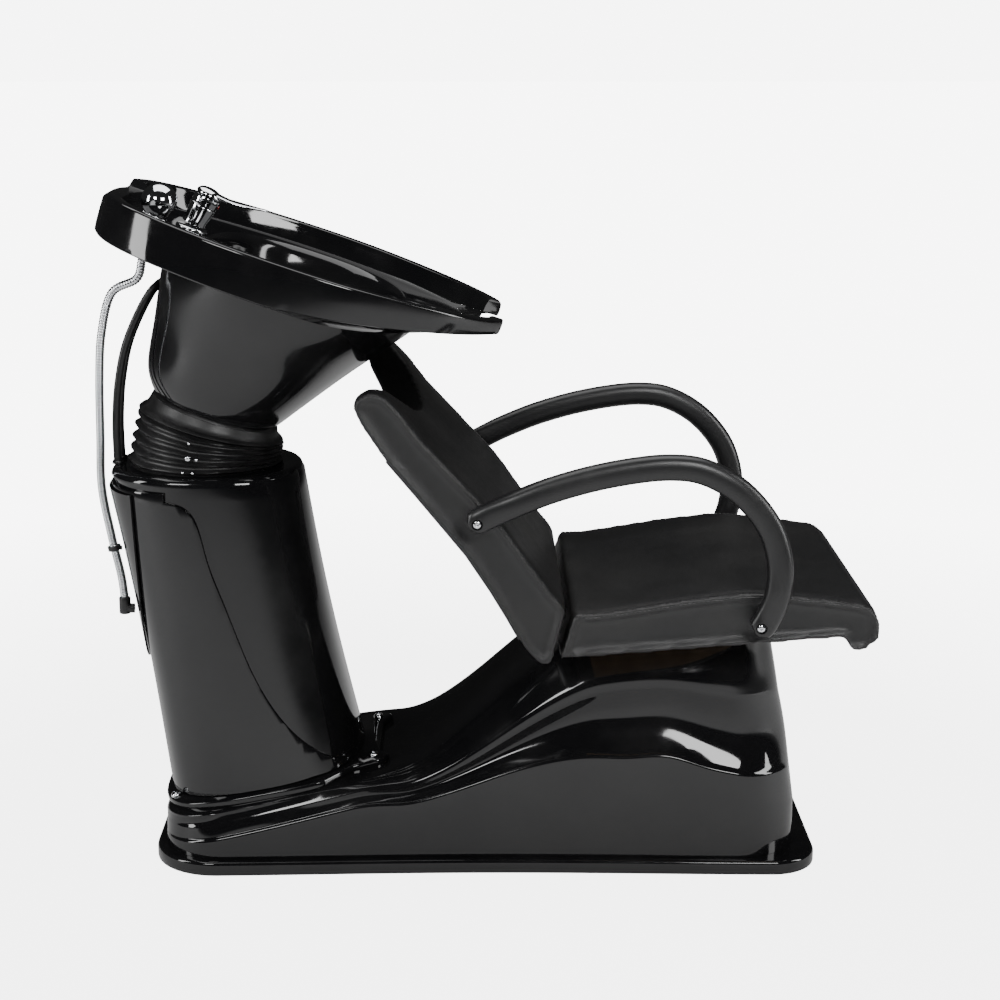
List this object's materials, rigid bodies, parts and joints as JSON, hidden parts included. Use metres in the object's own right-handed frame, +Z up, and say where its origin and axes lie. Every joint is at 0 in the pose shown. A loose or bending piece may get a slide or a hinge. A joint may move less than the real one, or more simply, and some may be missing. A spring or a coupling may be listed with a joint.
{
  "type": "shampoo backwash unit",
  "caption": "Salon backwash unit: padded seat with looped arms and a deep tilting basin with mixer and hand shower, on one long moulded pedestal.",
  "frame": {"origin": "middle of the floor plate's underside", "axes": "+X from the basin towards the sitter's knees, +Y to the sitter's left, +Z up"},
  "size_m": [1.1631, 0.588, 1.0221],
  "materials": {
    "gloss_black_plastic": "high gloss",
    "satin_black_plastic": "satin",
    "black_rubber": "matt",
    "black_leatherette": "soft sheen",
    "chrome": "polished",
    "zinc_steel": "zinc plated",
    "black_painted_steel": "satin",
    "plywood": "raw",
    "stainless_spiral": "spiral wound",
    "temperature_button": "gloss"
  },
  "bodies": {
    "base": {"access_panel": "gloss_black_plastic", "arm_bolt_front_left": "chrome", "arm_bolt_front_right": "chrome", "arm_bolt_rear_left": "chrome", "arm_bolt_rear_right": "chrome", "armrest_left": "satin_black_plastic", "armrest_right": "satin_black_plastic", "back_board": "satin_black_plastic", "back_cushion": "black_leatherette", "base_frame": "black_painted_steel", "bellows": "black_rubber", "bellows_stud_1": "chrome", "bellows_stud_2": "chrome", "bellows_stud_3": "chrome", "bellows_stud_4": "chrome", "bellows_stud_5": "chrome", "column_cover": "gloss_black_plastic", "column_flange": "gloss_black_plastic", "column_housing": "gloss_black_plastic", "column_post": "black_painted_steel", "floor_plate": "gloss_black_plastic", "foot_bolt_1": "chrome", "foot_bolt_2": "chrome", "foot_bolt_3": "chrome", "foot_bolt_4": "chrome", "hinge_bolt": "zinc_steel", "hinge_nut": "zinc_steel", "hinge_washer_left": "zinc_steel", "hinge_washer_right": "zinc_steel", "hose_clip": "satin_black_plastic", "pedestal_shell": "gloss_black_plastic", "seat_board": "plywood", "seat_cushion": "black_leatherette", "seat_frame": "black_painted_steel", "shower_hose": "stainless_spiral", "shower_hose_fitting": "satin_black_plastic", "supply_gland_cold": "satin_black_plastic", "supply_gland_hot": "satin_black_plastic", "supply_hose_cold": "black_rubber", "supply_hose_hot": "black_rubber", "tilt_fork": "black_painted_steel", "waste_hose": "black_rubber", "waste_outlet": "satin_black_plastic"},
    "basin": {"basin": "gloss_black_plastic", "basin_shroud": "gloss_black_plastic", "bowl_collar": "black_rubber", "tilt_tongue": "black_painted_steel", "waste_flange": "chrome", "waste_nut": "satin_black_plastic", "tap_base_ring": "chrome", "tap_shank": "zinc_steel", "tap_nut": "zinc_steel", "tap_body": "chrome", "shower_holder": "satin_black_plastic"},
    "cartridge": {"tap_cartridge": "chrome", "tap_button": "temperature_button"},
    "lever": {"tap_lever": "chrome"},
    "shower": {"hand_shower": "chrome", "shower_face": "satin_black_plastic"},
    "strainer": {"strainer": "chrome"}
  },
  "joints": [
    {"name": "basin_tilt", "type": "hinge", "parent": "base", "child": "basin", "pos_m": [-0.42, 0, 0.622], "axis": [0, 1, 0], "range_deg": [-14, 0], "deforming": ["bellows", "waste_hose", "supply_hose_hot", "supply_hose_cold", "shower_hose"]},
    {"name": "mixer_turn", "type": "hinge", "parent": "basin", "child": "cartridge", "pos_m": [-0.42066, 0.018, 0.983], "axis": [0.506, 0, 0.8625], "range_deg": [-50, 50]},
    {"name": "lever_lift", "type": "hinge", "parent": "cartridge", "child": "lever", "pos_m": [-0.4306, 0.018, 1.00657], "axis": [0, 1, 0], "range_deg": [-22, 0]},
    {"name": "shower_lift", "type": "slide", "parent": "basin", "child": "shower", "axis": [0.3156, 0, 0.9489], "range_m": [0, 0.12], "deforming": ["shower_hose"]},
    {"name": "strainer_lift", "type": "slide", "parent": "basin", "child": "strainer", "axis": [0.3156, 0, 0.9489], "range_m": [0, 0.05]}
  ]
}
